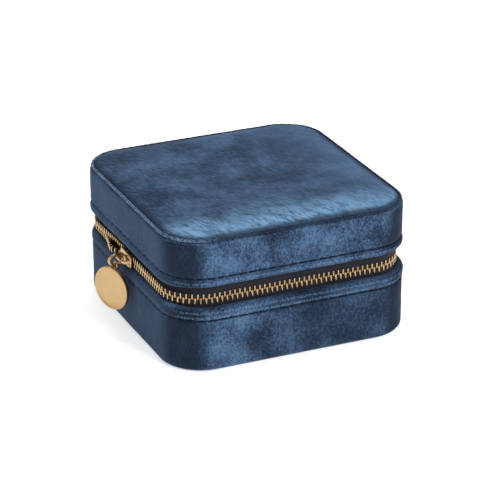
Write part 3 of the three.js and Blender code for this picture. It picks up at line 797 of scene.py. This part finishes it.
def lid_cushion():
    """The padded top panel: it rises from the seam in a tight roll and is nearly flat across."""
    rise = [(1.75, 53.1), (2.0, 53.45), (2.5, 53.8), (3.4, 54.15), (5.0, 54.5), (7.5, 54.75), (11, 54.9),
            (16, 55.0), (50, 55.05)]
    at, height = np.array(rise).T
    insets = [1.75, 1.85, 2.0, 2.2, 2.5, 2.9, 3.4, 4.0, 4.8, 5.8, 7.0, 8.2, 9.5, 11, 12.5, 14]
    insets += list(np.arange(15.5, 49.5, 1.7)) + [49.4]
    under = [(49.4, 52.65), (30, 52.65), (10, 52.65), (2.0, 52.65), (1.75, 52.85)]
    levels = under + [(i, float(np.interp(i, at, height))) for i in insets]

    def relief(points, inset):
        top = smooth((points[..., Z] - 53.0) / 0.8)
        sag = 0.14 * lumps(points, 21, seed=5) + 0.07 * lumps(points, 7, seed=2)
        return (sag - 0.05) * top * smooth((inset - 1.8) / 3)

    piece = mesh_piece("lid_cushion", panel(levels, 250, relief), VELVET_TOP, "lid",
                       ["lid_top_panel"], aside=LID_ASIDE)
    swell(piece, 4.0, 0.55, lambda p: 1 - smooth((p[:, Z] - 53.2) / 0.9))


def lid_piping():
    """The raised corded seam between the lid's band and its top panel."""
    inset, z, radius = 1.05, LID_TOP + 0.8, 0.60
    ring = superellipse(radius, radius * 0.95, 2, 14) + (inset, z)

    def relief(s, inset, z, points):
        wander = 0.07 * lumps(points, 6, seed=7)
        return wander, 0.05 * np.cos(2 * math.pi * s / 3.1) + wander

    mesh_piece("lid_piping", wall(ring, relief), VELVET_PIPING, "lid",
               ["lid_seam_piping"], aside=LID_ASIDE)


def underside():
    levels = [(49.4, 0.02), (20, 0.02), (3.2, 0.03), (2.4, 0.12), (2.05, 0.4), (2.0, 0.9), (2.4, 1.0),
              (49.4, 1.0)]
    mesh_piece("base_underside", panel(levels), VELVET, "base", ["base_bottom_panel"])


def hinge_ribbon(name, node, half_width, line, thickness, look):
    """A cloth strip across the back's middle, bent between base and lid. line is (inset, z)."""
    half = thickness / 2
    line = np.array(line, float)
    columns = 48
    ribbon = []
    for x in np.linspace(-half_width, half_width, columns):
        wave = 0.05 * math.sin(x * 0.9) + 0.04 * math.sin(x * 0.37)
        outer = [(x, HALF - i + half + wave, z) for i, z in line]
        inner = [(x, HALF - i - half + wave, z) for i, z in line[::-1]]
        ribbon.append(outer + inner)
    piece = mesh_piece(name, Shape().loft(ribbon), look, None, [node])
    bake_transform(piece)


def hinge():
    middle = (BASE_TOP + LID_BOTTOM) / 2
    reach = LID_BOTTOM - middle
    heights = np.linspace(-reach - 0.5, reach + 0.5, 17)
    outer = [(0.55 + 0.75 * (abs(h) / reach) ** 6, middle + h) for h in heights]
    hinge_ribbon("hinge_outer", "hinge_strip_outer", 31.5, outer, 0.7, VELVET)
    low, high = span("hinge_strip_lining", Z)
    inner = [(sum(LINING) / 2, z) for z in np.linspace(low - 0.2, high + 0.2, 21)]
    hinge_ribbon("hinge_inner", "hinge_strip_lining", 28, inner, 0.8, SUEDE)


# ---------------------------------------------------------------- slider, link and charm
def plate_outline(shrink):
    """The slider's outline in (y, z) about the chain: a shield, wide at the nose."""
    tail, nose = SLIDER_Y - SLIDER_HALF, SLIDER_Y + SLIDER_HALF
    high = PLATE_HALF
    upper = [(tail, 0.0), (tail, high - 1.05), (tail + 0.5, high - 0.5), (tail + 2.5, high - 0.35),
             (nose - 3.4, high), (nose - 1.3, high - 0.03), (nose - 0.35, high - 0.55), (nose, 1.2)]
    lower = [(y, -z) for y, z in reversed(upper[1:])]
    points = resample(upper + lower, 0.7) - (SLIDER_Y, 0)
    return points * (1 - shrink / SLIDER_HALF, 1 - shrink / PLATE_HALF) + (SLIDER_Y, 0)


def upright(outline, x):
    """A slider outline of (y, z) about the chain, standing at x."""
    return np.column_stack([np.full(len(outline), x), outline[:, 0], CHAIN_Z + outline[:, 1]])


def plate(shape, x_outer, x_inner, bevel):
    """A slider plate between two x places, its rim rounded on both faces."""
    sides = [(x_outer, bevel), (x_outer + bevel * 0.35, bevel * 0.35), (x_outer + bevel, 0),
             (x_inner - bevel * 0.6, 0), (x_inner, bevel * 0.6)]
    shape.loft([upright(plate_outline(shrink), x) for x, shrink in sides])


def bridge_path():
    """The slider's bridge, seen from above, from the plate near the tail over to near the nose."""
    half = 4.1
    foot = PLATE_FRONT[0] + 0.3
    t = np.linspace(-1, 1, 25)
    out = (1 - np.abs(t) ** 5) ** 0.55
    y = SLIDER_Y + half * np.sign(t) * np.abs(t) ** 0.8
    return np.column_stack([foot + (BRIDGE_X - foot) * out, y, np.full(len(t), BRIDGE_Z)])


def slider():
    body = Shape()
    plate(body, *PLATE_FRONT, 0.4)
    plate(body, *PLATE_BACK, 0.3)
    inner, outer = PLATE_FRONT[1], PLATE_BACK[0]
    nose = SLIDER_Y + SLIDER_HALF
    wedge = [(nose - 2.6, 0.1), (nose - 1.5, 0.35), (nose - 0.4, 0.4)]
    outline = np.array(wedge + [(y, -z) for y, z in reversed(wedge)])
    body.loft([upright(outline, x) for x in (inner - 0.2, outer + 0.2)])
    for side in (-1, 1):
        for x0, x1 in ((inner - 0.2, inner + 0.8), (outer - 0.6, outer + 0.2)):
            flange = superellipse((x1 - x0) / 2, 0.15, 4, 12) + ((x0 + x1) / 2, CHAIN_Z + side * 2.45)
            body.loft([np.column_stack([flange[:, 0], np.full(12, y), flange[:, 1]])
                       for y in (SLIDER_Y - 4.4, SLIDER_Y - 0.6)])
    path = bridge_path()
    middleness = 1 - np.abs(np.linspace(-1, 1, len(path)))
    sections = [superellipse(0.95 - 0.42 * smooth(m * 3), 0.5, 3, 16) for m in middleness]
    body.loft(sweep(path, sections, (0, 0, 1)))
    mesh_piece("slider", body, GOLD, "zip_slider", ["slider_body"], sharp=34)


def pull_link():
    """An oval ring of round wire, standing across the slider."""
    (x0, x1), _, (z0, z1) = spans("pull_link")
    a, b = (x1 - x0) / 2 - LINK_WIRE, (z1 - z0) / 2 - LINK_WIRE
    centre = np.array([(x0 + x1) / 2, LINK_Y, (z0 + z1) / 2])
    ring = Shape()
    sections = []
    for t in np.arange(56) * 2 * math.pi / 56:
        out = np.array([math.cos(t) / a, 0, math.sin(t) / b])
        out /= np.linalg.norm(out)
        middle = centre + (a * math.cos(t), 0, b * math.sin(t))
        section = superellipse(LINK_WIRE, LINK_WIRE, 2.3, 18)
        sections.append([middle + out * p + np.array([0, q, 0]) for p, q in section])
    mesh_piece("oval_link", ring.loft(sections, loop=True), GOLD, "pull_link", ["pull_link"])


def pull_charm():
    """A plain round charm with a fine raised rim, and a strap with an eye behind its top."""
    radius, half = CHARM_RADIUS, CHARM_HALF
    centre = (CHARM_X, LINK_Y, CHARM_Z)
    face = [(0.01, half - 0.16), (radius - 1.5, half - 0.16), (radius - 1.15, half - 0.12),
            (radius - 0.95, half), (radius - 0.4, half), (radius - 0.12, half - 0.12), (radius, half - 0.4)]
    profile = face + [(r, -h) for r, h in reversed(face)]
    normal = (-math.cos(CHARM_YAW), -math.sin(CHARM_YAW), 0)
    body = Shape()
    body.loft(lathe(profile, centre, normal, 96), loop=True)
    eye = (LINK_X, LINK_Y, EYE_Z)
    section = superellipse(0.36, 0.44, 2.5, 14) + (1.36, 0)
    body.loft(lathe(section, eye, (1, 0, 0), 40), loop=True)
    strap = []
    for z, half_y, aside in ((25.7, 0.5, 0), (25.2, 0.85, 0), (24.6, 0.95, -0.15), (23.8, 0.9, -0.7),
                             (23.0, 0.85, -1.05), (22.6, 0.7, -1.15)):
        section = superellipse(0.42, half_y, 3, 14)
        strap.append([(LINK_X + aside + p, LINK_Y + q, z) for p, q in section])
    body.loft(strap)
    mesh_piece("round_charm", body, CHARM_GOLD, "pull_charm", ["pull_charm"], sharp=30)


# ---------------------------------------------------------------- linings, rolls and dividers
def lining_walls():
    def relief(s, inset, z, points):
        return 0.06 * lumps(points, 9, seed=4), np.zeros_like(points[..., 0])

    outer, inner = LINING
    for name, body, node in (("base_lining_wall", "base", "base_wall_lining"),
                             ("lid_lining_wall", "lid", "lid_wall_lining")):
        low, high = span(node, Z)
        ease = 0.35
        profile = [(outer, low + ease), (outer, high - ease), (outer + ease, high), (inner - ease, high),
                   (inner, high - ease), (inner, low + ease), (inner - ease, low), (outer + ease, low)]
        mesh_piece(name, wall(profile, relief, step=1.6, fine=2), SUEDE, body, [node])


def lining_panels():
    def relief(points, inset):
        return 0.05 * lumps(points, 11, seed=6)

    low, high = span("base_floor_lining", Z)
    levels = [(49.4, low), (5.2, low), (5.0, low + 0.3), (5.0, high - 0.3), (5.3, high)]
    levels += [(i, high) for i in (8, 12, 18, 26, 36, 49.4)]
    mesh_piece("base_lining_floor", panel(levels, 160, relief), SUEDE, "base",
               ["base_floor_lining"])
    low, high = span("lid_inner_panel", Z)
    levels = [(i, low) for i in (49.4, 36, 26, 18, 12, 8, 5)]
    levels += [(3.4, low + 0.02), (3.1, low + 0.3), (3.1, high - 0.2), (3.3, high), (49.4, high)]
    mesh_piece("lid_ceiling", panel(levels, 160), SUEDE, "lid", ["lid_inner_panel"])
    low, high = span("lid_foam_pad", Z)
    levels = [(49.4, low), (2.2, low), (1.7, low + 0.4), (1.65, high - 0.8), (2.3, high), (49.4, high)]
    piece = mesh_piece("lid_foam", panel(levels, 120), FOAM, "lid", ["lid_foam_pad"])


def depth_at(x):
    """How far the room inside the linings reaches in y at x, allowing for its round corners."""
    past = np.clip(np.abs(x) - STRAIGHT, 0, INSIDE_CORNER)
    return STRAIGHT + np.sqrt(INSIDE_CORNER ** 2 - past ** 2) - 0.1


def ring_rolls():
    """Four suede-covered rolls side by side; rings are pushed down between them."""
    nodes = sorted(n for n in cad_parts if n.startswith("ring_roll_"))
    for k, node in enumerate(nodes):
        (x0, x1), _, (z0, z1) = spans(node)
        middle, half = (x0 + x1) / 2, (x1 - x0) / 2 - 0.12
        foot = [(-half, z0 + 0.6), (0.5 - half, z0), (half - 0.5, z0), (half, z0 + 0.6)]
        outline = resample(arch(0, z1 - 0.25 - half, half, 19) + foot, 0.9)
        centre = np.array([0, (z0 + z1) / 2])
        sections = []
        for share in np.concatenate([[-1, -0.995, -0.985, -0.965], np.linspace(-0.93, 0.93, 64),
                                     [0.965, 0.985, 0.995, 1]]):
            ease = 1 - 0.16 * smooth((abs(share) - 0.955) / 0.045) ** 2
            ring = centre + (outline - centre) * ease
            x = middle + ring[:, 0]
            sections.append(np.column_stack([x, share * depth_at(middle + outline[:, 0]), ring[:, 1]]))
        piece = mesh_piece(f"ring_roll_pad_{k + 1}", Shape().loft(sections), SUEDE, "base",
                           [node])
        swell(piece, 3.0, 0.45, lambda p, z0=z0: 1 - smooth((p[:, Z] - z0 - 3) / 9), (0.15, 0.1, 1))


def dividers():
    """Suede-wrapped boards with a rounded top edge."""
    boards = [("divider_long", "middle_divider", Y), ("divider_cross", "cross_divider", X),
              ("divider_short", "earring_divider", Y)]
    for name, node, length_axis in boards:
        thin_axis = X if length_axis == Y else Y
        (a0, a1), (t0, t1), (z0, z1) = span(node, length_axis), span(node, thin_axis), span(node, Z)
        half = (t1 - t0) / 2
        outline = resample(arch(0, z1 - half, half, 13) + [(-half, z0), (half, z0)], 1.5)
        sections = []
        for along in np.linspace(a0, a1, 40):
            section = np.empty((len(outline), 3))
            section[:, length_axis] = along
            section[:, thin_axis] = (t0 + t1) / 2 + outline[:, 0]
            section[:, Z] = outline[:, 1] - 0.06 * (1 + math.sin(along * 0.35)) * (outline[:, 1] > z1 - half)
            sections.append(section)
        mesh_piece(name, Shape().loft(sections), SUEDE, "base", [node], sharp=50)


# ---------------------------------------------------------------- inside the lid
def pocket_surface(x, y):
    """Height of the pocket's outer side: sewn down on three sides and gathered towards its mouth."""
    (x0, x1), (y0, y1), (z0, z1) = spans("lid_pocket")
    edge = np.minimum(np.minimum(x - x0, x1 - x), y1 - y)
    puffed = z0 + 0.9
    height = puffed + (z1 - 0.1 - puffed) * (1 - smooth(edge / 4.5))
    gather = np.exp(-(y - y0) / 20)
    pleats = np.sin(x * 1.25 + 0.9 * np.sin(x * 0.31)) + 0.5 * np.sin(x * 2.3 + 1.3)
    return height + (0.60 * gather * pleats + 0.12 * np.sin(y * 0.5 + x * 0.2)) * smooth(edge / 3)


def dashes_along(name, path, pitch, radius, body):
    """Sewing thread along a path of points: a dash for every pitch, with a gap after it."""
    path = np.asarray(path, float)
    run = np.concatenate([[0], np.cumsum(np.linalg.norm(np.diff(path, axis=0), axis=1))])
    ring = superellipse(radius, radius, 2, 6)
    rows = Shape()
    for start in np.arange(0, run[-1] - pitch, pitch):
        share = start + np.linspace(0, 0.72, 6) * pitch
        points = np.column_stack([np.interp(share, run, path[:, axis]) for axis in (X, Y, Z)])
        rows.loft(sweep(points, [ring] * 6, (0, 0, 1)))
    mesh_piece(name, rows, GREY_THREAD, body)


def pocket():
    """A gathered pocket, sewn on three sides, with a ruched elastic edge towards the front."""
    (x0, x1), (y0, y1), _ = spans("lid_pocket")
    columns, rows = 190, 40
    x = np.linspace(x0 + 0.3, x1 - 0.3, columns)[:, None]
    y = np.linspace(y0, y1 - 0.3, rows)[None]
    full = [np.broadcast_to(a, (columns, rows)) for a in (x, y)]
    surface = np.stack([*full, pocket_surface(x, y)], -1)
    lining = surface + (0, 0, 0.55)
    loops = np.concatenate([surface, lining[:, ::-1]], axis=1)
    piece = mesh_piece("gathered_pocket", Shape().loft(loops), SUEDE, "lid", ["lid_pocket"],
                       sharp=70)
    seam = 1.4
    corners = [(x0 + seam, y0 + 1), (x0 + seam, y1 - seam), (x1 - seam, y1 - seam), (x1 - seam, y0 + 1)]
    line = []
    for start, end in zip(corners, corners[1:]):
        line += [np.array(start) + (np.array(end) - start) * t for t in np.linspace(0, 1, 90)]
    line = np.array(line)
    height = pocket_surface(line[:, 0], line[:, 1]) - 0.02
    dashes_along("pocket_stitching", np.column_stack([line, height]), 2.6, 0.14, "lid")

    x0, x1 = span("lid_pocket_elastic", X)
    stops = [(x, 1 - 0.15 * (1 + math.sin(x * 3.1 + 0.6 * math.sin(x * 0.7))))
             for x in np.linspace(x0, x1, 220)]
    cross_bar("ruched_elastic", "lid_pocket_elastic", stops, power=3, count=14)


def cross_bar(name, node, stops, power, count, sharp=None):
    """A suede bar along X in its node's place. stops are (x, share of the full section)."""
    _, (y0, y1), (z0, z1) = spans(node)
    middle = np.array([(y0 + y1) / 2, (z0 + z1) / 2])
    section = superellipse((y1 - y0) / 2, (z1 - z0) / 2, power, count)
    sections = [[(x, *(middle + point * share)) for point in section] for x, share in stops]
    mesh_piece(name, Shape().loft(sections), SUEDE, "lid", [node], sharp=sharp)


def necklace_rail():
    x0, x1 = span("necklace_bar", X)
    stops = [(x0, 0.72), (x0 + 0.3, 0.93), (x0 + 0.9, 1), (x1 - 0.9, 1), (x1 - 0.3, 0.93), (x1, 0.72)]
    cross_bar("necklace_rail", "necklace_bar", stops, power=4, count=24, sharp=60)


def tab_outline(x, half, root, tip, inset):
    """A strap seen from below: square at its root and round at its tip."""
    r = half - inset
    return np.array([(x - r, root + inset), (x + r, root + inset), *arch(x, tip - half, r, 21)])


# Half sections of a press stud's cap and socket: the height drawn, then (radius, height) points.
CAP = (0.9, [(0.01, -0.06), (1.6, -0.02), (2.6, 0.10), (3.3, 0.34), (3.6, 0.62), (3.55, 0.85), (3.2, 0.9),
             (0.01, 0.9)])
RIM = (0.4, [(0.01, 0.22), (1.2, 0.2), (1.35, 0.04), (1.7, 0), (2.2, 0.06), (2.9, 0.14), (3.2, 0.26),
             (3.2, 0.4), (0.01, 0.4)])


def snap(name, node, section, place, body):
    """A cap or socket of a press stud, turned about a vertical axis in its node's height."""
    low, high = span(node, Z)
    drawn, points = section
    profile = [(r, h * (high - low) / drawn) for r, h in points]
    shape = Shape().loft(lathe(profile, (*place, low), (0, 0, 1), 40), loop=True)
    mesh_piece(name, shape, GOLD, body, [node], sharp=45)


def necklace_tabs():
    """Three snap tabs: suede straps with stitched borders, each with its cap and its socket."""
    for k in (1, 2, 3):
        (x0, x1), (y0, y1), (z0, z1) = spans(f"necklace_tab_{k}")
        x, half = (x0 + x1) / 2, (x1 - x0) / 2
        body = f"tab_{k}"
        levels = [(z0, 0.28), (z0 + 0.12, 0.08), (z0 + 0.3, 0), (z1 - 0.3, 0), (z1 - 0.12, 0.08), (z1, 0.28)]
        sections = [level(tab_outline(x, half, y0, y1, inset), z) for z, inset in levels]
        mesh_piece(f"snap_tab_{k}", Shape().loft(sections), SUEDE, body,
                   [f"necklace_tab_{k}"], sharp=50)
        border = level(tab_outline(x, half, y0, y1, 0.95), z0 - 0.02)
        dashes_along(f"tab_stitching_{k}", np.roll(border, -1, axis=0), 1.8, 0.14, body)
        place = (x, sum(span(f"snap_cap_{k}", Y)) / 2)
        snap(f"snap_cap_dome_{k}", f"snap_cap_{k}", CAP, place, body)
        snap(f"snap_socket_rim_{k}", f"snap_socket_{k}", RIM, place, "lid")


# ---------------------------------------------------------------- boards kept from the frame
def finish_boards():
    for node in ("base_floor_board", "base_wall_board", "lid_top_board", "lid_wall_board"):
        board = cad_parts[node]
        board.data.materials.clear()
        board.data.materials.append(GREYBOARD)


# ---------------------------------------------------------------- stage, lights and camera
def stage():
    look = Look("pale_floor", Roughness=0.9, Specular_IOR_Level=0.1)
    tone = look.noise(900, 2, 0.5)
    look.set(Base_Color=look.ramp(tone, (0.3, (0.88, 0.88, 0.88)), (0.7, (0.92, 0.92, 0.92))),
             Emission_Color=(1, 1, 1, 1), Emission_Strength=0.52)
    size, floor_z = 4000, -0.15
    corners = [(-size, -size, floor_z), (size, -size, floor_z), (size, size, floor_z), (-size, size, floor_z)]
    floor = new_object("floor", new_mesh("floor", corners, [(0, 1, 2, 3)], look.material))
    world = bpy.data.worlds.new("soft_white")
    world.use_nodes = True
    background = world.node_tree.nodes["Background"]
    background.inputs["Color"].default_value = (1, 1, 1, 1)
    background.inputs["Strength"].default_value = 0.46
    bpy.context.scene.world = world
    bpy.context.scene.view_settings.view_transform = "Standard"


def softbox(name, place, watts, width):
    light = bpy.data.lights.new(name, "AREA")
    light.energy = watts
    light.size = width
    lamp = new_object(name, light)
    lamp.location = place
    aim = Vector((0, 0, 30 * MM)) - Vector(place)
    lamp.rotation_euler = aim.to_track_quat("-Z", "Y").to_euler()


def lights():
    softbox("right_front", (0.35, -1.08, 0.75), 10.8, 0.5)
    softbox("left_back", (-0.95, 0.55, 0.55), 1.8, 0.5)
    softbox("overhead_back", (0.10, 0.75, 1.10), 4.0, 0.6)


def camera():
    """The photo's view, fitted to the case's outline in it."""
    azimuth, elevation = math.radians(-23.963), math.radians(23.646)
    distance, aside, above = 933.35, -1.970, 2.308
    back = Vector((math.sin(azimuth) * math.cos(elevation), -math.cos(azimuth) * math.cos(elevation),
                   math.sin(elevation)))
    right = (-back).cross(Vector((0, 0, 1))).normalized()
    up = right.cross(-back)
    lens = bpy.data.cameras.new("camera")
    lens.lens = 178.8
    lens.sensor_width = 36
    eye = new_object("camera", lens)
    eye.location = (Vector((0, 0, 25)) + back * distance + right * aside + up * above) * MM
    eye.rotation_euler = (-back).to_track_quat("-Z", "Y").to_euler()
    bpy.context.scene.camera = eye


def main():
    camera()
    stage()
    lights()
    velvet_shells()
    stitching("base_stitching", "base", BASE_STITCH)
    stitching("lid_stitching", "lid", LID_STITCH, LID_ASIDE)
    lid_cushion()
    lid_piping()
    underside()
    hinge()
    for lower, body, side in ((True, "base", "lower"), (False, "lid", "upper")):
        zip_tape(f"tape_{side}", body, lower, f"zip_tape_{side}")
        tooth_row(f"teeth_{side}", body, lower, f"zip_teeth_{side}")
    for side in ("left", "right"):
        end_stop(f"end_stop_{side}", f"zip_stop_{side}")
    slider()
    pull_link()
    pull_charm()
    lining_walls()
    lining_panels()
    ring_rolls()
    dividers()
    pocket()
    necklace_rail()
    necklace_tabs()
    finish_boards()


main()
